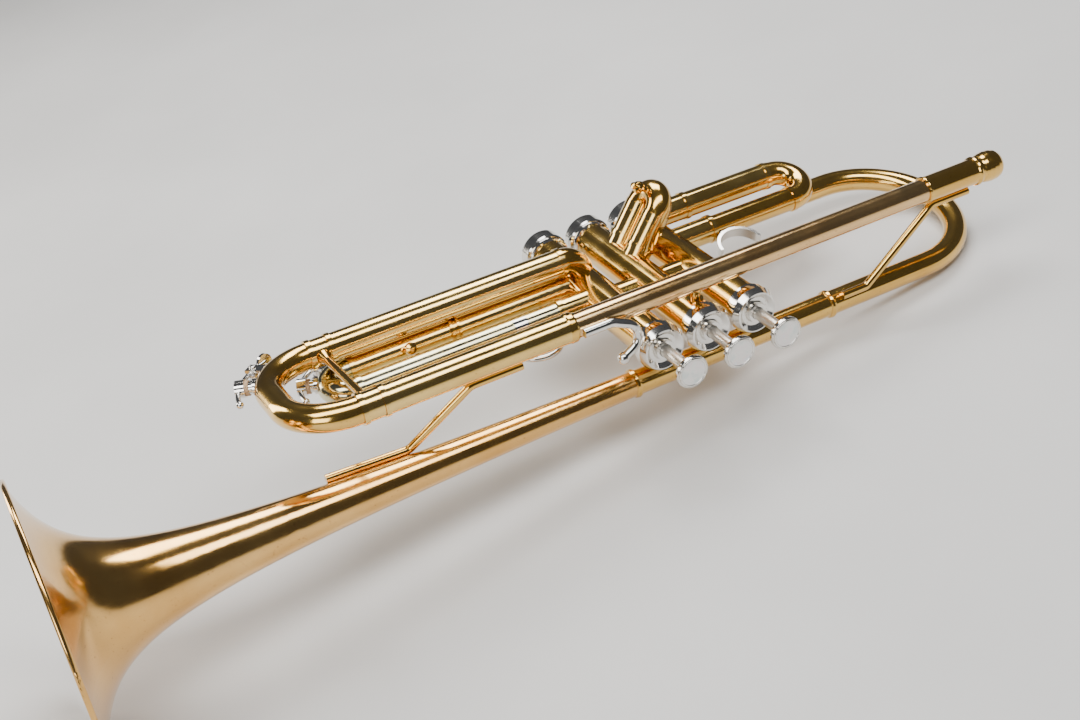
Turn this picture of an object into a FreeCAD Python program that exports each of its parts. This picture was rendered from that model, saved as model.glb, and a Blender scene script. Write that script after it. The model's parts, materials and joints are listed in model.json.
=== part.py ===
import FreeCAD, Part
import Sketcher
import math
import os

# A three-valve B-flat trumpet, lying on its bell side as it is put down on a table.
#
# It is drawn in the player's frame: x runs to the bell, y to the player's left (the bell
# side) and z up to the finger buttons.  Valve 2's axis is on x = 0, y = 0, and the casings
# start at z = 2, a little above the bottom caps' rims.  Every sub-part then takes the same
# rest placement, which lays the horn down and puts the origin under the middle of its
# footprint, on the table.

DIMS = {
    "valve_pitch": 26.0,
    "casing_radius": 10.0,
    "casing_bore": 8.5,
    "casing_top": 112.0,
    "cap_radius": 12.0,
    "bottom_cap_radius": 12.0,
    "piston_radius": 8.45,
    "stem_radius": 3.0,
    "valve_stroke": 16.0,
    "button_radius": 8.2,
    "button_top": 142.0,
    "bore_radius": 5.83,
    "slide_radius": 6.3,
    "bow_radius": 6.6,
    "outer_radius": 6.95,
    "outer_bore": 6.34,
    "ring_radius": 7.5,
    "ring_width": 2.4,
    "lead_side": 22.8,
    "lead_height": 105.8,
    "lead_radius": 6.1,
    "main_side": 15.5,
    "main_height": 38.6,
    "main_bend": 26.0,
    "outer_end": 162.0,
    "bell_side": 21.5,
    "bell_height": 104.5,
    "bell_tube": 6.2,
    "rim_radius": 61.5,
    "rim_station": 317.0,
    "bell_wall": 0.8,
    "bow_side": 10.0,
    "bow_height": 17.5,
    "bow_station": 140.0,
    "first_low_side": 8.0,
    "first_low_height": 15.6,
    "first_high_side": 2.0,
    "first_high_height": 36.8,
    "first_bow_station": 106.0,
    "second_low_height": 27.0,
    "second_spacing": 16.0,
    "second_reach": 27.0,
    "third_low_height": 38.0,
    "third_spacing": 19.4,
    "third_bow_station": 157.0,
    "brace_rod": 2.1,
    "key_lift": 3.2,
}

doc = FreeCAD.newDocument("trumpet")
sheet = doc.addObject("Spreadsheet::Sheet", "Dims")
for row, (alias, number) in enumerate(DIMS.items(), start=1):
    sheet.set(f"A{row}", alias.replace("_", " "))
    sheet.set(f"B{row}", str(number))
    sheet.setAlias(f"B{row}", alias)
doc.recompute()

X = FreeCAD.Vector(1, 0, 0)
Y = FreeCAD.Vector(0, 1, 0)
Z = FreeCAD.Vector(0, 0, 1)
HERE = ("0", "0", "0")
UP = FreeCAD.Rotation()
TO_BELL = FreeCAD.Rotation(Y, 90)
TO_PLAYER = FreeCAD.Rotation(Y, -90)
TO_LEFT = FreeCAD.Rotation(X, -90)
TO_RIGHT = FreeCAD.Rotation(X, 90)

sub_parts = []


def value(rule):
    """The number that a rule, written in terms of the sheet, stands for."""
    return float(sheet.evalExpression(rule))


def axes(x_dir, y_dir):
    return FreeCAD.Rotation(x_dir, y_dir, x_dir.cross(y_dir), "XYZ")


def frame(x_dir, z_dir):
    return FreeCAD.Rotation(x_dir, z_dir.cross(x_dir), z_dir, "XZY")


def place(obj, spot=HERE, aim=UP):
    obj.Placement = FreeCAD.Placement(FreeCAD.Vector(*(value(rule) for rule in spot)), aim)
    for axis, rule in zip("xyz", spot):
        obj.setExpression(f"Placement.Base.{axis}", rule)
    return obj


def primitive(kind, spot, aim, **rules):
    obj = doc.addObject(f"Part::{kind}", kind)
    for size, rule in rules.items():
        obj.setExpression(size, rule)
    return place(obj, spot, aim)


def rod(radius, length, spot=HERE, aim=UP):
    return primitive("Cylinder", spot, aim, Radius=radius, Height=length)


def cone(start, end, length, spot=HERE, aim=UP):
    return primitive("Cone", spot, aim, Radius1=start, Radius2=end, Height=length)


def ball(radius, spot=HERE):
    return primitive("Sphere", spot, UP, Radius=radius)


def block(length, width, height, spot=HERE, aim=UP):
    return primitive("Box", spot, aim, Length=length, Width=width, Height=height)


def arc_rod(bend, radius, sweep, spot=HERE, aim=UP):
    """A round bar bent about the local z axis, starting on the local x axis."""
    return primitive("Torus", spot, aim, Radius1=bend, Radius2=radius, Angle3=sweep)


def join(*shapes):
    obj = doc.addObject("Part::MultiFuse", "Join")
    obj.Shapes = list(shapes)
    return obj


def cut(base, tool):
    obj = doc.addObject("Part::Cut", "Cut")
    obj.Base = base
    obj.Tool = tool
    return obj


def common(base, tool):
    obj = doc.addObject("Part::Common", "Common")
    obj.Base = base
    obj.Tool = tool
    return obj


def in_frame(shape, spot, aim):
    """A shape drawn in a local frame, set into the horn's frame."""
    group = doc.addObject("Part::Compound", "Framed")
    group.Links = [shape]
    return place(group, spot, aim)


def tube(outer, inner, length, spot=HERE, aim=UP):
    return cut(rod(outer, length, spot, aim), rod(inner, length, spot, aim))


def turned(outline, spot=HERE, aim=UP):
    """A turned body: the outline's (radius, height) rules, spun about the local z axis."""
    body = doc.addObject("PartDesign::Body", "Turned")
    plane = next(f for f in body.Origin.OriginFeatures if f.Role == "XZ_Plane")
    sketch = body.newObject("Sketcher::SketchObject", "Outline")
    sketch.AttachmentSupport = [(plane, "")]
    sketch.MapMode = "FlatFace"
    points = [FreeCAD.Vector(value(r), value(h), 0) for r, h in outline]
    for point, following in zip(points, points[1:] + points[:1]):
        sketch.addGeometry(Part.LineSegment(point, following), False)
    for index, (radius, height) in enumerate(outline):
        after = (index + 1) % len(outline)
        sketch.addConstraint(Sketcher.Constraint("Coincident", index, 2, after, 1))
        for kind, axis, rule in (("DistanceX", -2, radius), ("DistanceY", -1, height)):
            if value(rule) == 0:
                sketch.addConstraint(Sketcher.Constraint("PointOnObject", index, 1, axis))
                continue
            number = sketch.addConstraint(Sketcher.Constraint(kind, -1, 1, index, 1, value(rule)))
            sketch.setExpression(f"Constraints[{number}]", rule)
    spin = body.newObject("PartDesign::Revolution", "Spin")
    spin.Profile = sketch
    spin.ReferenceAxis = (sketch, ["V_Axis"])
    spin.Angle = 360
    body.Tip = spin
    return place(body, spot, aim)


def name(label, *shapes):
    """One named sub-part, holding its solid or its group of like solids."""
    group = doc.addObject("Part::Compound", label)
    group.Links = list(shapes)
    group.Label = label
    sub_parts.append(group)
    return group


def valve_station(number):
    return f"{number - 2} * Dims.valve_pitch"


def casing_core(number):
    """The solid space that a casing fills, for trimming the tubes that meet it."""
    return rod("Dims.casing_radius", "Dims.casing_top", (valve_station(number), "0", "0"))


def bow_solid(leg_radius, low_leg, high_leg, radius, spacing, bend):
    """A solid U in the local XZ plane: legs towards -x, bends from x = 0, lower leg on z = 0."""
    shapes = [
        rod(leg_radius, low_leg, (f"-({low_leg})", "0", "0"), TO_BELL),
        rod(leg_radius, high_leg, (f"-({high_leg})", "0", spacing), TO_BELL),
        arc_rod(bend, radius, "90", ("0", "0", bend), axes(-Z, X)),
        arc_rod(bend, radius, "90", ("0", "0", f"{spacing} - {bend}"), axes(X, Z)),
    ]
    if value(f"{spacing} - 2 * {bend}") > 0:
        straight = f"{spacing} - 2 * {bend}"
        shapes.append(rod(radius, straight, (bend, "0", bend)))
    return join(*shapes)


def bow(low_leg, high_leg, spacing, bend, spot, aim, radius="Dims.bow_radius",
        leg_radius="Dims.slide_radius"):
    """A hollow U-shaped slide bow with its two legs."""
    outer = bow_solid(leg_radius, low_leg, high_leg, radius, spacing, bend)
    bore = "Dims.bore_radius"
    inner = bow_solid(bore, low_leg, high_leg, bore, spacing, bend)
    return place(cut(outer, inner), spot, aim)


def bent_bar(radius, points, bend):
    """A round bar along straight runs between the points, bent to a radius at each turn."""
    points = [FreeCAD.Vector(*point) for point in points]
    edges = []
    last = points[0]
    for before, corner, after in zip(points, points[1:], points[2:]):
        back = (before - corner).normalize()
        ahead = (after - corner).normalize()
        half = back.getAngle(ahead) / 2
        reach = bend / math.tan(half)
        middle = (back + ahead).normalize() * (bend / math.sin(half) - bend)
        edges.append(Part.makeLine(last, corner + back * reach))
        last = corner + ahead * reach
        edges.append(Part.Arc(corner + back * reach, corner + middle, last).toShape())
    edges.append(Part.makeLine(last, points[-1]))
    section = Part.Wire(Part.makeCircle(radius, points[0], points[1] - points[0]))
    bar = doc.addObject("Part::Feature", "BentBar")
    bar.Shape = Part.Wire(edges).makePipeShell([section], True, True)
    return bar


# --- Valve block -------------------------------------------------------------------------

def tube_ends(number):
    """The bores that lead into one valve casing, run through to its middle."""
    bore = "Dims.bore_radius"
    x = valve_station(number)
    if number == 1:
        low = (x, "-Dims.first_low_side", "Dims.first_low_height")
        high = (x, "-Dims.first_high_side", "Dims.first_high_height")
        bell_end = FreeCAD.Rotation(Z, FreeCAD.Vector(-1, 1, 0))
        return [
            rod(bore, "20", low, TO_PLAYER),
            rod(bore, "20", high, TO_PLAYER),
            rod(bore, "20", (x, "0", "Dims.bow_height"), bell_end),
        ]
    if number == 2:
        return [swung(rod(bore, "20", (x, "0", height), TO_BELL))
                for height in (SECOND_LOW, SECOND_HIGH)]
    high = "Dims.third_low_height + Dims.third_spacing"
    return [
        rod(bore, "20", (x, "0", "Dims.third_low_height"), TO_BELL),
        rod(bore, "20", (x, "0", high), TO_BELL),
        rod(bore, "20", (x, "0", "Dims.main_height"), TO_RIGHT),
    ]


def valve_casings():
    wall_top = "Dims.casing_top - 2"
    for number in (1, 2, 3):
        shell = tube("Dims.casing_radius", "Dims.casing_bore", wall_top,
                     (valve_station(number), "0", "2"))
        ports = tube_ends(number)
        if number != 2:
            ports.append(rod("Dims.bore_radius", "10", (valve_station(number), "0", "62"),
                             TO_BELL if number == 1 else TO_PLAYER))
        else:
            ports.append(rod("Dims.bore_radius", "20", ("-10", "0", "62"), TO_BELL))
        name(f"valve_casing_{number}", cut(shell, join(*ports)))


def casing_knuckles():
    """The two short tubes that carry the air from one casing to the next."""
    pair = []
    for number in (1, 2):
        whole = tube("6.5", "Dims.bore_radius", "Dims.valve_pitch",
                     (valve_station(number), "0", "62"), TO_BELL)
        pair.append(cut(whole, join(casing_core(number), casing_core(number + 1))))
    name("casing_knuckles", *pair)


def bottom_valve_caps():
    """Cupped bottom caps with a raised rim, a collar up the casing and a breather hole."""
    radius = "Dims.bottom_cap_radius"
    inner = "Dims.casing_radius"
    outline = [
        ("1.5", "-3.3"), (f"{inner} - 1.2", "-3.3"), (inner, "-4.5"), (f"{radius} - 0.8", "-4.5"),
        (radius, "-3.7"), (radius, "2.6"), (f"{radius} - 0.8", "3.4"), (f"{inner} + 0.9", "3.4"),
        (f"{inner} + 0.9", "6"), (inner, "6.4"), (inner, "-2"), ("1.5", "-2"),
    ]
    caps = [turned(outline, (valve_station(number), "0", "0")) for number in (1, 2, 3)]
    name("bottom_valve_caps", *caps)


def top_valve_caps():
    """Top caps: a stepped, bevelled rim, a dished top and a small collar round the stem."""
    radius = "Dims.cap_radius"
    hole = "Dims.stem_radius + 0.25"
    inner = "Dims.casing_radius"
    outline = [
        (inner, "0"), (f"{radius} - 0.8", "0"), (f"{radius} - 0.8", "1.6"), (radius, "2.4"),
        (radius, "6.2"), (f"{radius} - 1.6", "9.4"), (f"{radius} - 2.4", "9.6"),
        (f"{radius} - 3.6", "8.6"), (f"{radius} - 4.6", "7.7"), ("5.6", "7.7"),
        ("4.8", "10.2"), (hole, "10.2"),
        (hole, "6.4"), ("Dims.casing_bore", "6.4"), ("Dims.casing_bore", "3.6"), (inner, "3.6"),
    ]
    for number in (1, 2, 3):
        spot = (valve_station(number), "0", "Dims.casing_top - 3.6")
        name(f"top_valve_cap_{number}", turned(outline, spot))


def valve_guides():
    """A keyed bar across each casing, which keeps the piston from turning."""
    bars = []
    for number in (1, 2, 3):
        x = valve_station(number)
        bar = block("3", "2 * Dims.casing_bore", "2.4", (f"{x} - 1.5", "-Dims.casing_bore", "76"))
        bars.append(common(bar, rod("Dims.casing_bore", "10", (x, "0", "72"))))
    name("valve_guides", *bars)


PISTON_FOOT = "20"
BARREL_FOOT = "72"
PISTON_HEAD = "112"


def pistons():
    """A closed drum with three air passages, and a slotted spring barrel above it."""
    wall = "Dims.piston_radius - 0.9"
    for number in (1, 2, 3):
        x = valve_station(number)
        drum = cut(rod("Dims.piston_radius", "92", (x, "0", PISTON_FOOT)),
                   join(rod(wall, "50", (x, "0", "21")), rod(wall, "38", (x, "0", "72"))))
        slot = block("3.4", "20", "20.4", (f"{x} - 1.7", "-10", "75.6"))
        passages = []
        for height, turn in (("29", 0), ("45", 60), ("61", 120)):
            aim = FreeCAD.Rotation(Z, turn).multiply(TO_BELL)
            away = aim.multVec(Z) * -10
            spot = (f"{x} + {away.x}", f"{away.y}", height)
            passages.append((spot, aim))
        sleeves = join(*[rod("Dims.bore_radius", "20", spot, aim) for spot, aim in passages])
        holes = join(*[rod("Dims.bore_radius - 0.5", "20", spot, aim) for spot, aim in passages])
        lining = common(sleeves, rod("Dims.piston_radius", "92", (x, "0", PISTON_FOOT)))
        name(f"piston_{number}", cut(cut(join(drum, lining), slot), holes))


def valve_tops():
    """What moves with each piston above the casing: spring, felt, stem, button and pearl."""
    stem_top = "Dims.button_top - 4"
    for number in (1, 2, 3):
        x = valve_station(number)
        name(f"valve_felt_{number}", tube("6.5", "Dims.stem_radius", "2.2", (x, "0", PISTON_HEAD)))
        stem = rod("Dims.stem_radius", f"{stem_top} - {PISTON_HEAD}", (x, "0", PISTON_HEAD))
        name(f"valve_stem_{number}", stem)
        radius = "Dims.button_radius"
        outline = [
            ("0", "0"), ("4.2", "0"), (f"{radius} - 1.2", "1.4"), (f"{radius} - 0.2", "2.4"),
            (radius, "3.2"), (radius, "3.9"), (f"{radius} - 0.5", "4.6"),
            (f"{radius} - 1", "4.6"), (f"{radius} - 1", "3.4"), ("0", "3.4"),
        ]
        cup = turned(outline, (x, "0", "Dims.button_top - 4.9"))
        socket = rod("Dims.stem_radius", "0.9", (x, "0", "Dims.button_top - 4.9"))
        name(f"finger_button_{number}", cut(cup, socket))
        pearl = turned([("0", "0"), (f"{radius} - 1", "0"), (f"{radius} - 1", "1.1"),
                        (f"{radius} - 1.6", "1.4"), ("0", "1.5")],
                       (x, "0", "Dims.button_top - 1.5"))
        name(f"button_pearl_{number}", pearl)


def valve_springs():
    """A coil spring in each piston's barrel, from the guide up to the barrel's head."""
    coil_radius = 5.4
    wire = 0.4
    low = 78.6 + wire
    high = 110.0 - wire
    for number in (1, 2, 3):
        x = value(valve_station(number))
        turns = 9
        helix = Part.makeHelix((high - low) / turns, high - low, coil_radius)
        start = FreeCAD.Vector(coil_radius, 0, 0)
        circle = Part.Wire(Part.makeCircle(wire, start, Y))
        coil = Part.Wire(helix).makePipeShell([circle], True, True)
        coil.translate(FreeCAD.Vector(x, 0, low))
        spring = doc.addObject("Part::Feature", "Spring")
        spring.Shape = coil
        name(f"valve_spring_{number}", spring)


# --- Second slide ------------------------------------------------------------------------

SECOND_TURN = FreeCAD.Rotation(Z, -125)
SECOND_LOW = "Dims.second_low_height"
SECOND_HIGH = "Dims.second_low_height + Dims.second_spacing"
SECOND_BOW = "Dims.second_reach + 5"


def second_slide():
    """Two short tubes out of valve 2, a small bow and its sleeves, drawn along local x."""
    shells = []
    sleeves = []
    for height in (SECOND_LOW, SECOND_HIGH):
        leg = join(rod("Dims.outer_radius", "Dims.second_reach", ("0", "0", height), TO_BELL),
                   rod("Dims.outer_radius + 0.6", "2.2", ("12.4", "0", height), TO_BELL))
        hollow = rod("Dims.outer_bore", "Dims.second_reach", ("0", "0", height), TO_BELL)
        shells.append(cut(leg, join(hollow, casing_core(2))))
        sleeves.append(tube("Dims.outer_radius", "Dims.slide_radius", "4.6",
                            ("Dims.second_reach + 0.3", "0", height), TO_BELL))
    name("second_slide_tubes", swung(shells[0]), swung(shells[1]))
    name("second_slide_sleeves", swung(sleeves[0]), swung(sleeves[1]))
    legs = f"{SECOND_BOW} - 11.5"
    half = "Dims.second_spacing / 2"
    bend = bow(legs, legs, "Dims.second_spacing", half, (SECOND_BOW, "0", SECOND_LOW), UP)
    name("second_slide_bow", swung(bend))


def swung(shape):
    return in_frame(shape, HERE, SECOND_TURN)


def second_pull_knob():
    """A turned knob with two balls, standing out sideways from the second slide's bow."""
    outline = [
        ("0", "5"), ("1.8", "5"), ("1.4", "8.6"), ("2.6", "9.4"), ("3.3", "11"),
        ("2.8", "12.6"), ("1.5", "13.3"), ("1.9", "14.1"), ("1.5", "15.2"), ("0", "15.5"),
    ]
    half = "Dims.second_spacing / 2"
    height = f"{SECOND_LOW} + {half}"
    bend = arc_rod(half, "Dims.bow_radius", "180", (SECOND_BOW, "0", height), axes(-Z, X))
    knob = turned(outline, (f"{SECOND_BOW} + {half}", "0", height), TO_LEFT)
    name("second_slide_knob", swung(cut(knob, bend)))


# --- First slide -------------------------------------------------------------------------

def across(low_side, low_height, high_side, high_height):
    """The distance and direction from a slide's lower leg to its upper leg."""
    return FreeCAD.Vector(0, value(low_side) - value(high_side),
                          value(high_height) - value(low_height))


FIRST_ACROSS = across("Dims.first_low_side", "Dims.first_low_height",
                      "Dims.first_high_side", "Dims.first_high_height")
FIRST_SPACING = ("sqrt((Dims.first_high_height - Dims.first_low_height) ^ 2"
                 " + (Dims.first_low_side - Dims.first_high_side) ^ 2)")
FIRST_OUTER_END = "-Dims.first_bow_station + 2.6"
FIRST_SHORT_END = "-54"


def first_slide():
    """A long and a short tube out of valve 1, a bow, and the thumb saddle on its upper leg."""
    x = valve_station(1)
    low = (x, "-Dims.first_low_side", "Dims.first_low_height")
    high = (x, "-Dims.first_high_side", "Dims.first_high_height")
    shells = []
    for (station, side, height), end in ((low, FIRST_OUTER_END), (high, FIRST_SHORT_END)):
        length = f"{station} - ({end})"
        rings = [tube("Dims.ring_radius", "Dims.outer_radius - 0.1", "Dims.ring_width",
                      (end, side, height), TO_BELL)]
        if end == FIRST_OUTER_END:
            rings.append(tube("Dims.ring_radius", "Dims.outer_radius - 0.1", "Dims.ring_width",
                              ("-51.8", side, height), TO_BELL))
        shell = join(rod("Dims.outer_radius", length, (station, side, height), TO_PLAYER), *rings)
        hollow = rod("Dims.outer_bore", length, (station, side, height), TO_PLAYER)
        shells.append(cut(shell, join(hollow, casing_core(1))))
    name("first_slide_tubes", *shells)

    spot = ("-Dims.first_bow_station", "-Dims.first_low_side", "Dims.first_low_height")
    bend = bow("50", "Dims.first_bow_station - 37.4", FIRST_SPACING, f"{FIRST_SPACING} / 2",
               spot, frame(-X, FIRST_ACROSS))
    sleeve = tube("Dims.outer_radius - 0.05", "Dims.slide_radius", "Dims.ring_width",
                  (spot[0], spot[1], spot[2]), TO_BELL)
    high_sleeve = tube("Dims.outer_radius - 0.05", "Dims.slide_radius", "Dims.ring_width",
                       (spot[0], high[1], high[2]), TO_BELL)
    name("first_slide_bow", join(bend, sleeve, high_sleeve))


SADDLE_STATION = "-60"
SADDLE_WIDTH = "5.5"


def thumb_saddle():
    """A half-round strap, open away from the slide, on a small foot on its upper leg."""
    inner = "10.8"
    outer = "12.4"
    centre = f"Dims.slide_radius + 0.2 + {outer}"
    near_side = f"-{SADDLE_WIDTH} / 2"
    ring = tube(outer, inner, SADDLE_WIDTH, ("0", near_side, centre), TO_LEFT)
    open_half = block("30", "20", "20", ("-15", "-10", centre))
    foot = block("9", "4.4", "2.4", ("-4.5", "-2.2", "Dims.slide_radius - 0.8"))
    leg = rod("Dims.slide_radius", "30", ("-15", "0", "0"), TO_BELL)
    thumb_room = rod(inner, "20", ("0", "-10", centre), TO_LEFT)
    strap = join(cut(ring, open_half), cut(foot, join(leg, thumb_room)))
    spot = (SADDLE_STATION, "-Dims.first_high_side", "Dims.first_high_height")
    name("thumb_saddle", in_frame(strap, spot, frame(X, FIRST_ACROSS)))


# --- Third slide -------------------------------------------------------------------------

THIRD_HIGH = "Dims.third_low_height + Dims.third_spacing"
THIRD_SHORT_END = "50.5"
THIRD_OUTER_END = "Dims.third_bow_station - 2.6"


def third_slide():
    """A long and a short tube out of valve 3, a bow, and the finger ring on its upper leg."""
    x = valve_station(3)
    shells = []
    for height, end in (("Dims.third_low_height", THIRD_OUTER_END), (THIRD_HIGH, THIRD_SHORT_END)):
        length = f"{end} - {x}"
        last = f"{end} - Dims.ring_width"
        rings = [tube("Dims.ring_radius", "Dims.outer_radius - 0.1", "Dims.ring_width",
                      (station, "0", height), TO_BELL)
                 for station in ((last, "38.5") if end == THIRD_OUTER_END else (last,))]
        shell = join(rod("Dims.outer_radius", length, (x, "0", height), TO_BELL), *rings)
        hollow = rod("Dims.outer_bore", length, (x, "0", height), TO_BELL)
        shells.append(cut(shell, join(hollow, casing_core(3))))
    name("third_slide_tubes", *shells)

    spot = ("Dims.third_bow_station", "0", "Dims.third_low_height")
    bend = bow("60", "Dims.third_bow_station - 37.2", "Dims.third_spacing",
               "Dims.third_spacing / 2", spot, UP)
    rings = [tube("Dims.ring_radius - 0.4", "Dims.slide_radius", "Dims.ring_width",
                  (f"Dims.third_bow_station - {back}", "0", height), TO_BELL)
             for height, back in (("Dims.third_low_height", "2.2"), (THIRD_HIGH, "2.2"))]
    name("third_slide_bow", join(bend, *rings))


def finger_ring():
    """A wire ring on a half-round foot, soldered on top of the third slide's upper leg."""
    centre = f"{THIRD_HIGH} + Dims.slide_radius + 13"
    ring = arc_rod("11.5", "1.5", "360", ("72", "0", centre), TO_LEFT)
    leg = rod("Dims.slide_radius", "60", ("50", "0", THIRD_HIGH), TO_BELL)
    foot = rod("Dims.slide_radius + 0.7", "7", ("68.5", "0", THIRD_HIGH), TO_BELL)
    lower = block("40", "20", "20", ("50", "-10", f"{THIRD_HIGH} - 18"))
    name("third_slide_finger_ring", cut(join(ring, foot), join(leg, lower)))


def slide_stop_fittings():
    """Two fittings on the third slide's lower tube: a doubled flange and a ball-headed stud."""
    height = "Dims.third_low_height"
    flanges = join(*[tube("8.4", "Dims.outer_radius", "1.2", (station, "0", height), TO_BELL)
                     for station in ("96.5", "100.2")],
                   tube("7.6", "Dims.outer_radius", "2.7", ("97.6", "0", height), TO_BELL))
    outward = FreeCAD.Rotation(Z, FreeCAD.Vector(0, -0.45, 0.9))
    stud = turned([("0", "6"), ("2.2", "6"), ("1.6", "8"), ("2.7", "8.9"), ("3.2", "10.2"),
                   ("2.7", "11.5"), ("1.2", "12.4"), ("0", "12.5")],
                  ("124.5", "0", height), outward)
    body = rod("Dims.outer_radius", "20", ("115", "0", height), TO_BELL)
    name("slide_stop_fittings", flanges, cut(stud, body))


# --- Leadpipe and main tubes -------------------------------------------------------------

LEAD = ("-Dims.lead_side", "Dims.lead_height")
MAIN = ("-Dims.main_side", "Dims.main_height")
RECEIVER_MOUTH = "-183"
RECEIVER_END = "-136"
LEAD_END = "70"


def receiver():
    """The mouthpiece receiver: a domed end, a turned groove, and a gently tapered socket."""
    outline = [
        ("5.5", "0"), ("6.6", "0.2"), ("7.3", "1.4"), ("7.8", "3.6"), ("7.9", "6.5"),
        ("7.5", "9.2"), ("7", "11"), ("6.5", "11.6"), ("6.5", "12.9"), ("7.3", "13.4"),
        ("7.6", "14.4"), ("7.3", "15.3"), ("6.7", "15.8"), ("6.6", "20"), ("6.6", "47"),
        ("4.6", "47"), ("4.6", "26"),
    ]
    name("mouthpiece_receiver", turned(outline, (RECEIVER_MOUTH, *LEAD), TO_BELL))


def leadpipe():
    """The tapered leadpipe; returns the ferrules at its two ends."""
    length = f"{LEAD_END} - ({RECEIVER_END})"
    spot = (RECEIVER_END, *LEAD)
    wall = cone("Dims.lead_radius - 0.2", "Dims.lead_radius", length, spot, TO_BELL)
    bore = cone("4.6", "5.4", length, spot, TO_BELL)
    name("leadpipe", cut(wall, bore))
    receiver_wall = "Dims.lead_radius + 0.5"
    first = turned([(receiver_wall, "0"), ("7", "0.3"), ("7.1", "0.8"), ("7", "1.2"),
                    (receiver_wall, "1.5")], (f"{RECEIVER_END} - 1.5", *LEAD), TO_BELL)
    second = turned([("Dims.lead_radius", "0"), ("6.9", "0.3"), ("7.3", "1.2"), ("7.3", "3.6"),
                     ("7", "4.5"), ("Dims.lead_radius", "4.5")], ("65.5", *LEAD), TO_BELL)
    return first, second


def main_tubes():
    """The upper and lower outer tubes that the tuning slide runs in, and the lower elbow."""
    last_ring = "Dims.outer_end - Dims.ring_width"
    elbow_end = "Dims.valve_pitch + 9.8"
    shells = []
    for (side, height), start, ring_starts in ((LEAD, LEAD_END, (last_ring,)),
                                               (MAIN, elbow_end, (last_ring, elbow_end))):
        spot = (start, side, height)
        length = f"Dims.outer_end - ({start})"
        rings = [tube("Dims.ring_radius", "Dims.outer_radius - 0.1", "Dims.ring_width",
                      (station, side, height), TO_BELL) for station in ring_starts]
        shell = join(rod("Dims.outer_radius", length, spot, TO_BELL), *rings)
        shells.append(cut(shell, rod("Dims.outer_bore", length, spot, TO_BELL)))
    name("tuning_slide_tubes", *shells)
    centre = ("Dims.valve_pitch + 9.8", "-Dims.main_side + 9.8", "Dims.main_height")
    turn = axes(-Y, -X)
    elbow = cut(arc_rod("9.8", "Dims.outer_radius", "90", centre, turn),
                join(arc_rod("9.8", "Dims.bore_radius", "90", centre, turn), casing_core(3)))
    name("main_tube_elbow", elbow)


def valve_strut():
    """A flanged post between the leadpipe and valve 2's casing, and the leadpipe's stud."""
    height = "103.4"
    post = join(rod("2.4", "24", ("-1", "0", height), TO_RIGHT),
                rod("3.9", "11.2", ("-1", "0", height), TO_RIGHT),
                rod("3.9", "4", ("-1", "-15.4", height), TO_RIGHT))
    lead = rod("Dims.lead_radius + 0.02", "60", ("-30", *LEAD), TO_BELL)
    name("valve_strut", cut(post, join(lead, casing_core(2))))


def pinky_hook():
    """A bent bar on top of the leadpipe's end, curled back to a ball."""
    bar = 2.2
    height = value("Dims.lead_height + Dims.lead_radius") + bar
    side = value("-Dims.lead_side")
    points = [(64.8, side, height), (50, side, height), (40, side + 3.8, height + 2.2),
              (37.5, side + 12.8, height + 3.2), (48, side + 18.3, height + 3.7)]
    hook = bent_bar(bar, points, 7)
    end = ball("2.9", tuple(str(number) for number in points[-1]))
    name("pinky_hook", join(hook, end))


# --- Main tuning slide -------------------------------------------------------------------

MAIN_ACROSS = across("Dims.main_side", "Dims.main_height", "Dims.lead_side", "Dims.lead_height")
MAIN_SPACING = ("sqrt((Dims.lead_height - Dims.main_height) ^ 2"
                " + (Dims.lead_side - Dims.main_side) ^ 2)")
MAIN_AIM = frame(X, MAIN_ACROSS)
MAIN_START = "Dims.outer_end + 10.5"
MAIN_SPOT = (MAIN_START, *MAIN)


def tuning_slide():
    """The main tuning slide: bow with two legs, a ringed sleeve on each, and a cross brace."""
    name("tuning_slide_bow",
         bow("70", "70", MAIN_SPACING, "Dims.main_bend", MAIN_SPOT, MAIN_AIM))
    sleeves = []
    for height in ("0", MAIN_SPACING):
        sleeves.append(join(
            tube("Dims.outer_radius", "Dims.slide_radius", "9.9", ("-10.2", "0", height), TO_BELL),
            tube("Dims.ring_radius", "Dims.outer_radius - 0.1", "Dims.ring_width",
                 ("-2.7", "0", height), TO_BELL)))
    name("tuning_slide_sleeves", in_frame(join(*sleeves), MAIN_SPOT, MAIN_AIM))
    foot = "3.6"
    station = "-6.5"
    bar = join(rod("2", MAIN_SPACING, (station, "0", "0")),
               cone(foot, "2", "5", (station, "0", "Dims.outer_radius")),
               cone("2", foot, "5", (station, "0", f"{MAIN_SPACING} - Dims.outer_radius - 5")))
    legs = join(rod("Dims.outer_radius + 0.01", "30", ("-20", "0", "0"), TO_BELL),
                rod("Dims.outer_radius + 0.01", "30", ("-20", "0", MAIN_SPACING), TO_BELL))
    name("tuning_slide_brace", in_frame(cut(bar, legs), MAIN_SPOT, MAIN_AIM))


# --- Water keys --------------------------------------------------------------------------

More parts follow.
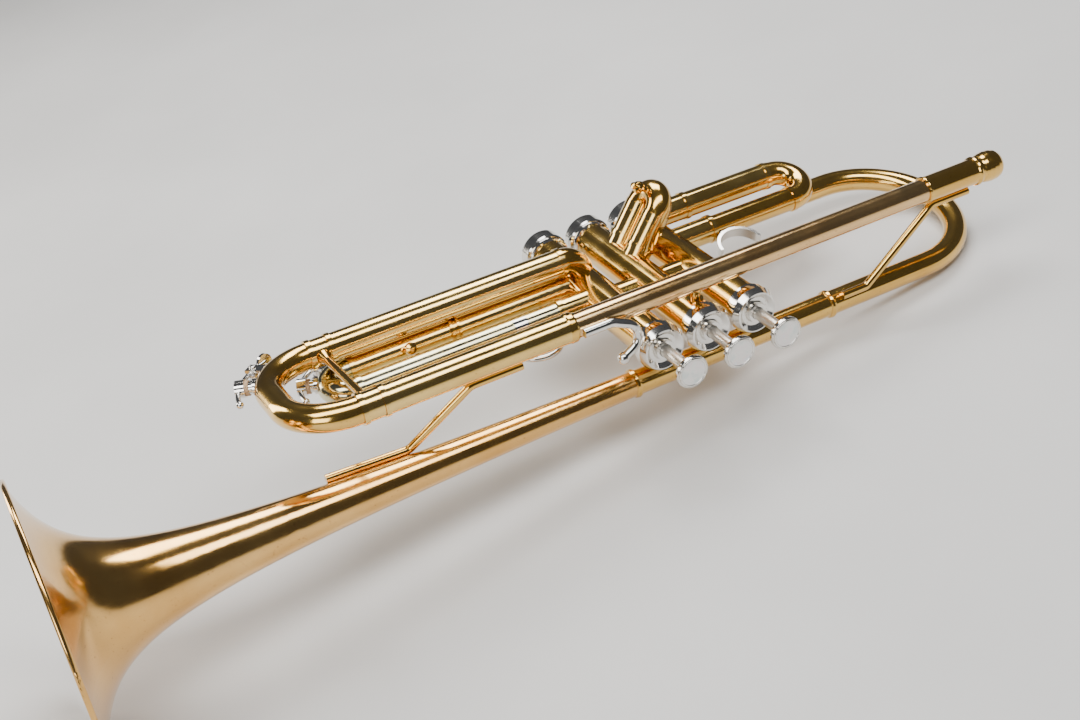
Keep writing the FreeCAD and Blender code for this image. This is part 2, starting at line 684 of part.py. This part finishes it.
def water_key(label, bend, tip, drain, pivot, thumb, tail, spot, aim):
    """A drain nipple and saddle on a bow's lower corner, and the sprung key that closes it.

    Angles run round the bend's centre, from straight outwards towards the lower leg.
    """
    surface = f"{bend} + Dims.bow_radius"
    centre = ("0", "0", bend)

    def outward(angle):
        radians = math.radians(angle)
        return FreeCAD.Rotation(Z, FreeCAD.Vector(math.cos(radians), 0, -math.sin(radians)))

    def radial(radius, start, length, angle):
        return in_frame(rod(radius, length, ("0", "0", start)), centre, outward(angle))

    bow_body = arc_rod(bend, "Dims.bow_radius", "180", centre, axes(-Z, X))
    nipple = join(radial("3", f"{surface} - 3", "5.6", drain),
                  radial("4.1", f"{surface} - 3", "3.6", drain))
    hole = radial("1.6", f"{surface} - 4", "9", drain)
    cheeks = []
    for side in ("-4.4", "2.9"):
        cheek = block("6", "1.5", "Dims.key_lift + 6.4", ("-3", side, f"{surface} - 3"))
        cheeks.append(in_frame(cheek, centre, outward(pivot)))
    pin_spot = ("0", "-4.4", f"{surface} + Dims.key_lift + 0.8")
    pin = in_frame(rod("0.8", "8.8", pin_spot, TO_LEFT), centre, outward(pivot))
    mount = cut(join(nipple, *cheeks), join(bow_body, hole))
    name(f"{label}_mount", in_frame(join(mount, pin), spot, aim))

    arm_radius = f"{surface} + Dims.key_lift + 4.4"
    lead = FreeCAD.Vector(math.cos(math.radians(tail)), 0, -math.sin(math.radians(tail)))
    sweep = str(thumb - tail)
    arm = arc_rod(arm_radius, "1.2", sweep, centre, axes(lead, Y.cross(lead)))
    cup = radial("4.3", f"{surface} + 4.4", "Dims.key_lift + 1.2", drain)
    hub = in_frame(rod("2.3", "5.2", ("0", "-2.6", f"{surface} + Dims.key_lift + 0.8"), TO_LEFT),
                   centre, outward(pivot))
    web = radial("1.1", f"{surface} + Dims.key_lift + 1.6", "3.4", pivot)
    pad = in_frame(rod("4.2", "1.6", ("0", "0", f"{arm_radius} - 0.4")), centre, outward(thumb))
    bead = in_frame(ball("1.8", ("0", "0", arm_radius)), centre, outward(tail))
    pin_hole = in_frame(rod("0.86", "12", ("0", "-6", pin_spot[2]), TO_LEFT), centre,
                        outward(pivot))
    lever = cut(join(arm, cup, hub, web, pad, bead), pin_hole)
    name(label, in_frame(lever, spot, aim))
    cork = radial("3.6", f"{surface} + 2.7", "1.7", drain)
    name(f"{label}_cork", in_frame(cork, spot, aim))


# --- Bell --------------------------------------------------------------------------------

BELL_TAIL = 38.5
BELL_SEAM = "200"
FLARE_LENGTH = 11.0
FLARE_POWER = 0.7


def flare(station):
    """The bell's outer radius: a power-law flare, widest at the rim."""
    depth = value("Dims.rim_station") - station
    return value("Dims.rim_radius") * (FLARE_LENGTH / (depth + FLARE_LENGTH)) ** FLARE_POWER


def bell():
    """The bell: a stem and a flare, brazed end to end, with a rolled bead round the rim."""
    rim = value("Dims.rim_station")
    wall = value("Dims.bell_wall")
    depths = [0, 3, 8, 16, 30, 50, 80, 120, 170, 225, rim - BELL_TAIL]
    outer = [FreeCAD.Vector(rim - depth, 0, flare(rim - depth)) for depth in depths]
    inner = [FreeCAD.Vector(point.x + wall * 0.3, 0, point.z - wall) for point in outer[:5]]
    inner += [FreeCAD.Vector(point.x, 0, point.z - wall) for point in outer[5:]]
    back = Part.BSplineCurve()
    back.interpolate(outer)
    front = Part.BSplineCurve()
    front.interpolate(inner[::-1])
    edges = [back.toShape(), Part.makeLine(outer[-1], inner[-1]), front.toShape(),
             Part.makeLine(inner[0], outer[0])]
    shell = Part.Face(Part.Wire(edges)).revolve(FreeCAD.Vector(), X, 360)
    bead = Part.makeTorus(value("Dims.rim_radius") - 0.3, 1.3, FreeCAD.Vector(rim, 0, 0), X)
    horn = doc.addObject("Part::Feature", "Horn")
    horn.Shape = shell.fuse(bead)
    axis = ("Dims.bell_side", "Dims.bell_height")
    place(horn, ("0", *axis))
    past_seam = rod("Dims.rim_radius + 20", "Dims.rim_station", (BELL_SEAM, *axis), TO_BELL)
    name("bell_stem", cut(horn, past_seam))
    name("bell_flare", common(horn, past_seam))


def bell_tail():
    """The straight bell tail and the bell bow back to valve 1; returns the tail's ferrules."""
    axis = ("Dims.bell_side", "Dims.bell_height")
    wall = "Dims.bell_tube - 0.6"
    join_station = "-78.8"
    name("bell_tail_tube", tube("Dims.bell_tube", wall, f"{BELL_TAIL} - ({join_station})",
                                (join_station, *axis), TO_BELL))
    outline = [("Dims.bell_tube", "0"), ("7", "0.4"), ("7.3", "1.4"), ("7", "2.6"),
               ("Dims.bell_tube", "3")]
    front = turned(outline, (f"{BELL_TAIL} - 3", *axis), TO_BELL)
    rear = turned(outline, (f"{join_station}", *axis), TO_BELL)

    spacing = "sqrt((Dims.bell_height - Dims.bow_height)^2 + (Dims.bell_side - Dims.bow_side)^2)"
    over = FreeCAD.Vector(0, value("Dims.bell_side - Dims.bow_side"),
                          value("Dims.bell_height - Dims.bow_height"))
    spot = ("-Dims.bow_station", "Dims.bow_side", "Dims.bow_height")
    knuckle = 44
    solids = []
    low_leg = f"Dims.bow_station - {knuckle}"
    high_leg = f"Dims.bow_station + ({join_station})"
    for radius in ("Dims.bell_tube", wall):
        shape = bow_solid(radius, low_leg, high_leg, radius, spacing, f"({spacing}) / 2")
        pipe = in_frame(shape, spot, frame(-X, over))
        bend = arc_rod("12", radius, "45", (f"-{knuckle}", "Dims.bow_side - 12", "Dims.bow_height"),
                       axes(Y, X))
        solids.append(join(pipe, bend))
    name("bell_bow", cut(solids[0], join(solids[1], casing_core(1))))
    return front, rear


def bell_braces():
    """Two Z-shaped braces, whose long feet lie along the bell and along the leadpipe."""
    bar = value("Dims.brace_rod")
    bell_axis = FreeCAD.Vector(0, value("Dims.bell_side"), value("Dims.bell_height"))
    lead_axis = FreeCAD.Vector(0, value("-Dims.lead_side"), value("Dims.lead_height"))

    def beside(axis, station, radius, side, height):
        away = FreeCAD.Vector(0, side, height).normalize() * (radius + bar)
        return tuple(FreeCAD.Vector(station, 0, 0) + axis + away)

    outer = value("Dims.outer_radius")
    front = [beside(bell_axis, 191, flare(191), -1, -1), beside(bell_axis, 151, flare(151), -1, -1),
             beside(lead_axis, 120, outer, 1, 0.1), beside(lead_axis, 94, outer, 1, 0.1)]
    name("front_bell_brace", bent_bar(bar, front, 5))
    tail = value("Dims.bell_tube")
    socket = 6.9
    rear = [beside(bell_axis, -82, tail, -1, 1), beside(bell_axis, -97, tail, -1, 1),
            beside(lead_axis, -141, socket, 1, 0.1), beside(lead_axis, -164, socket, 1, 0.1)]
    name("rear_bell_brace", bent_bar(bar, rear, 4))


# --- Assembly ----------------------------------------------------------------------------

def build():
    valve_casings()
    casing_knuckles()
    bottom_valve_caps()
    top_valve_caps()
    valve_guides()
    pistons()
    valve_tops()
    valve_springs()
    second_slide()
    second_pull_knob()
    first_slide()
    thumb_saddle()
    third_slide()
    finger_ring()
    slide_stop_fittings()
    receiver()
    ferrules = leadpipe()
    main_tubes()
    valve_strut()
    pinky_hook()
    tuning_slide()
    water_key("main_water_key", "Dims.main_bend", "1", 27, 45, 64, 4, MAIN_SPOT, MAIN_AIM)
    water_key("third_water_key", "Dims.third_spacing / 2", "1", 25, 62, 105, -8,
              ("Dims.third_bow_station", "0", "Dims.third_low_height"), UP)
    bell()
    name("tube_ferrules", *ferrules, *bell_tail())
    bell_braces()


def lay_down():
    """Lay the horn on its bell side: the rim and the bell bow touch the table."""
    rim_low = value("Dims.bell_side + Dims.rim_radius + 1")
    bow_low = value("Dims.bell_side + Dims.bell_tube")
    pitch = math.degrees(math.atan2(rim_low - bow_low,
                                    value("Dims.rim_station + Dims.bow_station")))
    on_side = FreeCAD.Rotation(X, -90)
    tip_up = FreeCAD.Rotation(Y, -pitch)
    aim = tip_up.multiply(on_side)
    for piece in sub_parts:
        piece.Placement = FreeCAD.Placement(FreeCAD.Vector(), aim)
    doc.recompute()
    box = FreeCAD.BoundBox()
    for piece in sub_parts:
        box.add(piece.Shape.optimalBoundingBox(False, False))
    base = FreeCAD.Vector(-box.Center.x, -box.Center.y, -box.ZMin)
    for piece in sub_parts:
        piece.Placement = FreeCAD.Placement(base, aim)
    doc.recompute()
    return FreeCAD.Placement(base, aim)


def check_and_export():
    for obj in doc.Objects:
        if "Invalid" in obj.State or "Error" in obj.State:
            raise RuntimeError(f"{obj.Name} did not build: {obj.State}")
    for piece in sub_parts:
        if piece.Shape.isNull() or not piece.Shape.isValid() or not piece.Shape.Solids:
            raise RuntimeError(f"{piece.Label} has no valid solid")
    os.makedirs("parts", exist_ok=True)
    for piece in sub_parts:
        piece.Shape.exportStep(f"parts/{piece.Label}.step")


build()
doc.recompute()
rest = lay_down()
print("rest placement", rest)
check_and_export()
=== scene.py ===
import json
import math

import bmesh
import bpy
from mathutils import Matrix, Vector


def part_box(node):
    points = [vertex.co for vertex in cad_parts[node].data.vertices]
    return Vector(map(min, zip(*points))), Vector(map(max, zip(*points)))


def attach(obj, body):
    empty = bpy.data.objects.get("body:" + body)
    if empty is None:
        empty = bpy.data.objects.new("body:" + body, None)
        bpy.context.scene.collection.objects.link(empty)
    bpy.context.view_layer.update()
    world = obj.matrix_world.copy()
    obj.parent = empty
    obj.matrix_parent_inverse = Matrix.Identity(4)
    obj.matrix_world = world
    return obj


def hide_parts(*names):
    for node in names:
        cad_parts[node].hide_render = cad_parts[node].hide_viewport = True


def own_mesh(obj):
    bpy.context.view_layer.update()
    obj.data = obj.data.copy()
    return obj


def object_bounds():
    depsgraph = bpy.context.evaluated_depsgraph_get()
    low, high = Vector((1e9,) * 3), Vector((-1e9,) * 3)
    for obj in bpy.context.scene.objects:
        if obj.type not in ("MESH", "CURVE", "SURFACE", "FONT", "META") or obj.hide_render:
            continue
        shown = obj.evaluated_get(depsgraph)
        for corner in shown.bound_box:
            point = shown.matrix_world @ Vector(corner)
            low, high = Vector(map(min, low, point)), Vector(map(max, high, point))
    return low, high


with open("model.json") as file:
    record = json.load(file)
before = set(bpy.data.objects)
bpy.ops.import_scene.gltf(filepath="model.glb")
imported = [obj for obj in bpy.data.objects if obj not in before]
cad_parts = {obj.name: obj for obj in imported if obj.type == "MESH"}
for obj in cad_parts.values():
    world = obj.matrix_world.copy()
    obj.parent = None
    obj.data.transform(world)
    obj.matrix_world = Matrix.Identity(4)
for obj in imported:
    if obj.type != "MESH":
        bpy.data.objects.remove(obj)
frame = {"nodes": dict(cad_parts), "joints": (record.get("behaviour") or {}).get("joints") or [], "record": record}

# A three-valve trumpet in gold-lacquered brass, lying on its bell side on a pale table.
# Lengths are metres. Small fittings are placed in the horn's own directions, which the
# packed joints give: towards the bell and towards the finger buttons.

CAD_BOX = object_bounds()
MM = 0.001

JOINTS = {joint["name"]: joint for joint in frame["joints"]}
TO_BELL = Vector(JOINTS["tuning_slide"]["axis"]).normalized()
TO_BUTTONS = -Vector(JOINTS["valve_2"]["axis"]).normalized()


def middle(node):
    low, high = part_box(node)
    return (low + high) / 2


# --- Camera ------------------------------------------------------------------------------

VALVE_BLOCK = middle("valve_casing_2")
CAMERA_SPOT = VALVE_BLOCK + Vector((0.2656, 0.5658, 0.4127))
CAMERA_TARGET = VALVE_BLOCK + Vector((0.0719, 0.0194, 0.0003))
CAMERA_ROLL = math.radians(-15.84)
CAMERA_LENS = 49.44


def add_camera():
    data = bpy.data.cameras.new("camera")
    data.lens = CAMERA_LENS
    data.sensor_width = 36
    data.clip_start = 0.01
    camera = bpy.data.objects.new("camera", data)
    bpy.context.scene.collection.objects.link(camera)
    level = (CAMERA_TARGET - CAMERA_SPOT).to_track_quat("-Z", "Y").to_matrix()
    turn = level @ Matrix.Rotation(CAMERA_ROLL, 3, "Z")
    camera.matrix_world = Matrix.Translation(CAMERA_SPOT) @ turn.to_4x4()
    bpy.context.scene.camera = camera


# --- Light and table ---------------------------------------------------------------------

def area_light(name, spot, target, width, depth, watts, colour=(1, 1, 1)):
    data = bpy.data.lights.new(name, "AREA")
    data.shape = "RECTANGLE"
    data.size = width
    data.size_y = depth
    data.energy = watts
    data.color = colour
    light = bpy.data.objects.new(name, data)
    bpy.context.scene.collection.objects.link(light)
    aim = (Vector(target) - Vector(spot)).to_track_quat("-Z", "Y")
    light.matrix_world = Matrix.Translation(Vector(spot)) @ aim.to_matrix().to_4x4()


def add_studio():
    heart = (0, 0, 0.06)
    area_light("key", (-0.35, -0.55, 0.95), heart, 0.8, 0.45, 12)
    area_light("overhead", (0.1, 0.35, 1.1), heart, 1.5, 0.42, 15)
    area_light("fill", (0.9, 0.7, 0.5), heart, 0.5, 0.5, 4)
    area_light("rim", (0.7, -0.8, 0.45), heart, 0.3, 0.8, 7, (1, 0.96, 0.9))
    world = bpy.data.worlds.new("studio")
    bpy.context.scene.world = world
    world.use_nodes = True
    world.node_tree.nodes["Background"].inputs["Color"].default_value = (0.6, 0.62, 0.66, 1)
    world.node_tree.nodes["Background"].inputs["Strength"].default_value = 0.13


# --- Materials ---------------------------------------------------------------------------

class Finish:
    """A procedural material under construction: its node tree and its main shader."""

    def __init__(self, name, **sockets):
        self.material = bpy.data.materials.new(name)
        self.material.use_nodes = True
        self.tree = self.material.node_tree
        self.shader = self.tree.nodes["Principled BSDF"]
        for socket, setting in sockets.items():
            self.shader.inputs[socket.replace("_", " ")].default_value = setting
        self.place = self.tree.nodes.new("ShaderNodeTexCoord").outputs["Object"]

    def link(self, source, node, socket):
        self.tree.links.new(source, node.inputs[socket])

    def noise(self, scale, detail=3, stretch=(1, 1, 1)):
        """Noise over the object, in features of about 1 / scale metres."""
        mapping = self.tree.nodes.new("ShaderNodeMapping")
        mapping.inputs["Scale"].default_value = stretch
        self.link(self.place, mapping, "Vector")
        noise = self.tree.nodes.new("ShaderNodeTexNoise")
        noise.inputs["Scale"].default_value = scale
        noise.inputs["Detail"].default_value = detail
        self.link(mapping.outputs["Vector"], noise, "Vector")
        return noise.outputs["Fac"]

    def cells(self, scale):
        cells = self.tree.nodes.new("ShaderNodeTexVoronoi")
        cells.inputs["Scale"].default_value = scale
        self.link(self.place, cells, "Vector")
        return cells.outputs["Distance"]

    def ramp(self, source, *stops):
        """The source's value turned into a colour, through stops of (value, colour)."""
        ramp = self.tree.nodes.new("ShaderNodeValToRGB")
        points = ramp.color_ramp.elements
        while len(points) < len(stops):
            points.new(0.5)
        for point, (position, colour) in zip(points, stops):
            point.position = position
            point.color = (*colour, 1)
        self.link(source, ramp, "Fac")
        return ramp.outputs["Color"]

    def mix(self, how, amount, first, second):
        mix = self.tree.nodes.new("ShaderNodeMix")
        mix.data_type = "RGBA"
        mix.blend_type = how
        mix.inputs["Factor"].default_value = amount
        self.tree.links.new(first, mix.inputs[6])
        self.tree.links.new(second, mix.inputs[7])
        return mix.outputs[2]

    def span(self, source, low, high):
        """The source's value from 0.3 to 0.7, spread over low to high."""
        span = self.tree.nodes.new("ShaderNodeMapRange")
        span.inputs["From Min"].default_value = 0.3
        span.inputs["From Max"].default_value = 0.7
        span.inputs["To Min"].default_value = low
        span.inputs["To Max"].default_value = high
        self.link(source, span, "Value")
        return span.outputs["Result"]

    def bump(self, source, depth, strength=1.0):
        bump = self.tree.nodes.new("ShaderNodeBump")
        bump.inputs["Distance"].default_value = depth
        bump.inputs["Strength"].default_value = strength
        self.link(source, bump, "Height")
        self.link(bump.outputs["Normal"], self.shader, "Normal")


# How the tool marks are stretched: along the row's length, round its Y axis, or not at all.
DRAWN = (1, 26, 26)
TURNED = (1, 40, 1)
EVEN = (1, 1, 1)

# How fine each kind of surface noise is, in features to the metre.
TINT_DRIFT = 28
TOOL_MARKS = 60
SMUDGES = 75
SPECKS = 900

DARK_SPECKS = (0.45, 0.30, 0.16)


def polished(name, bright, deep, roughness, smudge, coat, marks=DRAWN, depth=0.00001):
    """Polished metal: a slow change of tint, dark specks, finger smudges and tool marks."""
    finish = Finish(name, Metallic=1.0, Coat_Weight=coat, Coat_Roughness=0.04)
    tint = finish.ramp(finish.noise(TINT_DRIFT, 4), (0.32, deep), (0.68, bright))
    specks = finish.ramp(finish.noise(SPECKS, 2), (0.27, DARK_SPECKS), (0.34, (1, 1, 1)))
    finish.link(finish.mix("MULTIPLY", 0.6, tint, specks), finish.shader, "Base Color")
    finish.link(finish.span(finish.noise(SMUDGES, 5), roughness, roughness + smudge),
                finish.shader, "Roughness")
    finish.bump(finish.noise(TOOL_MARKS, 3, marks), depth, 0.5)
    return finish.material


def pearl():
    finish = Finish("pearl", Roughness=0.16, Coat_Weight=0.6, Coat_Roughness=0.03)
    sheen = finish.ramp(finish.noise(170, 5), (0.3, (0.76, 0.82, 0.78)),
                        (0.45, (0.94, 0.92, 0.87)), (0.58, (0.96, 0.88, 0.85)),
                        (0.72, (0.88, 0.92, 0.94)))
    finish.link(sheen, finish.shader, "Base Color")
    finish.bump(finish.noise(260, 4), 0.00003, 0.4)
    return finish.material


def felt():
    finish = Finish("felt", Roughness=0.95, Sheen_Weight=0.4)
    fibres = finish.ramp(finish.noise(2400, 6), (0.3, (0.55, 0.52, 0.46)),
                         (0.7, (0.86, 0.84, 0.78)))
    finish.link(fibres, finish.shader, "Base Color")
    finish.bump(finish.noise(3200, 5), 0.0002)
    return finish.material


def cork():
    finish = Finish("cork", Roughness=0.85)
    grains = finish.ramp(finish.cells(1500), (0.05, (0.16, 0.08, 0.04)),
                         (0.3, (0.50, 0.32, 0.18)), (0.7, (0.62, 0.43, 0.26)))
    finish.link(grains, finish.shader, "Base Color")
    finish.bump(finish.cells(1500), 0.0002)
    return finish.material


def table_top():
    finish = Finish("table", Roughness=0.6)
    mottle = finish.ramp(finish.noise(5, 6), (0.3, (0.66, 0.65, 0.63)),
                         (0.7, (0.74, 0.73, 0.71)))
    finish.link(mottle, finish.shader, "Base Color")
    finish.bump(finish.noise(420, 4), 0.0001, 0.3)
    return finish.material


def all_finishes():
    return {
        "lacquered_brass": polished("lacquered_brass", (0.86, 0.55, 0.14), (0.74, 0.42, 0.08),
                                    0.10, 0.08, 0.5),
        "pale_brass": polished("pale_brass", (0.90, 0.64, 0.22), (0.80, 0.51, 0.13),
                               0.10, 0.08, 0.5),
        "rose_brass": polished("rose_brass", (0.83, 0.50, 0.16), (0.71, 0.38, 0.09),
                               0.11, 0.09, 0.5),
        "lead_brass": polished("lead_brass", (0.88, 0.59, 0.27), (0.77, 0.46, 0.18),
                               0.13, 0.09, 0.5),
        "nickel_silver": polished("nickel_silver", (0.74, 0.68, 0.44), (0.58, 0.51, 0.29),
                                  0.11, 0.09, 0.3),
        "nickel_plate": polished("nickel_plate", (0.84, 0.82, 0.78), (0.70, 0.67, 0.62),
                                 0.07, 0.07, 0.2, EVEN, 0.000004),
        "satin_nickel": polished("satin_nickel", (0.80, 0.76, 0.70), (0.66, 0.62, 0.56),
                                 0.27, 0.08, 0.0, TURNED, 0.00002),
        "piston_alloy": polished("piston_alloy", (0.66, 0.64, 0.60), (0.54, 0.52, 0.49),
                                 0.22, 0.10, 0.0),
        "spring_steel": polished("spring_steel", (0.60, 0.60, 0.62), (0.46, 0.46, 0.48),
                                 0.25, 0.10, 0.0),
        "pearl": pearl(),
        "felt": felt(),
        "cork": cork(),
    }


OTHER_FINISHES = {
    "tuning_slide_tubes": "pale_brass",
    "first_slide_tubes": "pale_brass",
    "second_slide_tubes": "pale_brass",
    "third_slide_tubes": "pale_brass",
    "tuning_slide_sleeves": "pale_brass",
    "second_slide_sleeves": "pale_brass",
    "leadpipe": "lead_brass",
    "valve_stem_1": "satin_nickel",
    "valve_stem_2": "satin_nickel",
    "valve_stem_3": "satin_nickel",
    "third_slide_bow": "nickel_silver",
    "main_water_key_mount": "nickel_plate",
    "third_water_key_mount": "nickel_plate",
}


def dress_cad_nodes(finishes):
    for part in frame["record"]["subparts"]:
        node = frame["nodes"][part["node"]]
        finish = OTHER_FINISHES.get(part["node"], part["material_slot"])
        node.data.materials.clear()
        node.data.materials.append(finishes[finish])


# --- Fittings ----------------------------------------------------------------------------

def add_piece(name, shape, finish, body):
    """A finished mesh as a piece that rides on a body."""
    bmesh.ops.recalc_face_normals(shape, faces=shape.faces)
    mesh = bpy.data.meshes.new(name)
    shape.to_mesh(mesh)
    shape.free()
    mesh.materials.append(finish)
    for face in mesh.polygons:
        face.use_smooth = True
    piece = bpy.data.objects.new(name, mesh)
    bpy.context.scene.collection.objects.link(piece)
    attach(piece, body)
    return piece


def bridge(shape, lower, upper):
    """A band of faces between two rings that have the same number of points."""
    for step in range(len(lower)):
        after = (step + 1) % len(lower)
        shape.faces.new((lower[step], lower[after], upper[after], upper[step]))


def towards(side, over, turn):
    """The direction at an angle from side, turning to over."""
    return side * math.cos(turn) + over * math.sin(turn)


def sweep(shape, points, radius, sides=10):
    """A round wire through the points, with closed ends."""
    rings = []
    side = None
    for index, point in enumerate(points):
        ahead = points[min(index + 1, len(points) - 1)] - points[max(index - 1, 0)]
        ahead.normalize()
        side = (side - ahead * side.dot(ahead) if side else ahead.orthogonal()).normalized()
        over = ahead.cross(side)
        turns = [math.tau * step / sides for step in range(sides)]
        rings.append([shape.verts.new(point + towards(side, over, turn) * radius)
                      for turn in turns])
    for lower, upper in zip(rings, rings[1:]):
        bridge(shape, lower, upper)
    shape.faces.new(rings[0][::-1])
    shape.faces.new(rings[-1])


def spin(shape, centre, axis, profile, sides=64):
    """A ring turned about an axis: the closed profile is (radius, height) in millimetres."""
    side = axis.orthogonal().normalized()
    over = axis.cross(side)
    rings = []
    for radius, height in profile:
        turns = [math.tau * step / sides for step in range(sides)]
        offsets = [axis * height + towards(side, over, turn) * radius for turn in turns]
        rings.append([shape.verts.new(centre + offset * MM) for offset in offsets])
    for lower, upper in zip(rings, rings[1:] + rings[:1]):
        bridge(shape, lower, upper)


def button_rims(finish):
    """The turned metal bezel that holds each pearl in its button."""
    bezel = ((6.3, -0.3), (6.36, 0.0), (6.5, 0.14), (6.85, 0.2), (7.15, 0.12), (7.3, -0.08),
             (7.34, -0.5), (6.3, -0.5))
    step = ((7.42, -0.5), (7.42, -0.2), (7.55, -0.1), (7.75, -0.14), (7.9, -0.34), (7.9, -0.7))
    for number in (1, 2, 3):
        low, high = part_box(f"button_pearl_{number}")
        pearl = (low + high) / 2
        top = pearl + TO_BUTTONS * (high.y - low.y) / 2
        shape = bmesh.new()
        spin(shape, top, TO_BUTTONS, bezel)
        spin(shape, top, TO_BUTTONS, step)
        add_piece(f"button_bezel_{number}", shape, finish, f"valve_{number}")


def valve_springs(finish):
    """Each valve's coil spring on the fixed guide, made in place of the CAD spring, which is hidden."""
    wire = 0.4 * MM
    turns = 9
    steps = turns * 24
    side = TO_BELL
    over = TO_BUTTONS.cross(side)
    for number in (1, 2, 3):
        low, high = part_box(f"valve_spring_{number}")
        length = (high - low).dot(TO_BUTTONS)
        radius = (high.x - low.x) / 2 - wire
        foot = middle(f"valve_spring_{number}") - TO_BUTTONS * length / 2
        coil = []
        for step in range(steps + 1):
            turn = math.tau * turns * step / steps
            height = wire + (length - 2 * wire) * step / steps
            coil.append(foot + TO_BUTTONS * height + towards(side, over, turn) * radius)
        shape = bmesh.new()
        sweep(shape, coil, wire)
        spring = add_piece(f"valve_spring_coil_{number}", shape, finish, "horn")
        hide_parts(f"valve_spring_{number}")
        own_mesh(spring)


def torsion_spring(key, mount_body, finish):
    """Two coils round a water key's pin, one on each side of its arm."""
    spot = Vector(JOINTS[key]["pos_m"])
    pin = Vector(JOINTS[key]["axis"]).normalized()
    out = pin.orthogonal().normalized()
    over = pin.cross(out)
    shape = bmesh.new()
    radius = 2.72 * MM
    wire = 0.21 * MM
    coil_start = 1.5
    coil_length = 1.1
    turns = 2.5
    steps = 60
    for hand in (1, -1):
        coil = []
        for step in range(steps + 1):
            turn = math.tau * turns * step / steps
            along = (coil_start + coil_length * step / steps) * MM * hand
            coil.append(spot + pin * along + towards(out, over, turn) * radius)
        sweep(shape, coil, wire)
    add_piece(f"{key}_spring", shape, finish, mount_body)


def pin_screws(key, mount_body, finish):
    """A slotted, domed head on each end of a water key's pin."""
    spot = Vector(JOINTS[key]["pos_m"])
    pin = Vector(JOINTS[key]["axis"]).normalized()
    side = pin.orthogonal().normalized()
    over = pin.cross(side)
    profile = ((1.45, 0.0), (1.55, 0.15), (1.5, 0.55), (1.2, 0.85), (0.6, 1.0))
    sides = 32
    seat = 4.4
    slot_depth = 0.4
    slot_floor = 0.5
    half_slot = 0.22
    for number, hand in enumerate((1, -1), start=1):
        shape = bmesh.new()
        rings = []
        for radius, height in profile:
            ring = []
            for step in range(sides):
                turn = math.tau * step / sides
                across = radius * math.cos(turn)
                slotted = abs(across) < half_slot and height > slot_floor
                out = seat + height - (slot_depth if slotted else 0.0)
                offset = pin * hand * out + side * across + over * radius * math.sin(turn)
                ring.append(shape.verts.new(spot + offset * MM))
            rings.append(ring)
        for lower, upper in zip(rings, rings[1:]):
            bridge(shape, lower, upper)
        shape.faces.new(rings[0][::-1])
        shape.faces.new(rings[-1])
        add_piece(f"{key}_screw_{number}", shape, finish, mount_body)


def add_fittings(finishes):
    for key, mount_body in (("main_water_key", "tuning_slide"), ("third_water_key", "third_slide")):
        torsion_spring(key, mount_body, finishes["spring_steel"])
        pin_screws(key, mount_body, finishes["nickel_plate"])
    button_rims(finishes["nickel_plate"])
    valve_springs(finishes["spring_steel"])


# --- Table -------------------------------------------------------------------------------

TABLE_HALF_WIDTH = 6
TABLE_GAP = 0.0002


def add_table():
    shape = bmesh.new()
    bmesh.ops.create_grid(shape, x_segments=8, y_segments=8, size=TABLE_HALF_WIDTH)
    mesh = bpy.data.meshes.new("table")
    shape.to_mesh(mesh)
    shape.free()
    mesh.materials.append(table_top())
    table = bpy.data.objects.new("table", mesh)
    table.location.z = CAD_BOX[0].z - TABLE_GAP
    bpy.context.scene.collection.objects.link(table)


# --- Assembly ----------------------------------------------------------------------------

add_camera()
add_studio()
finishes = all_finishes()
dress_cad_nodes(finishes)
add_fittings(finishes)
add_table()
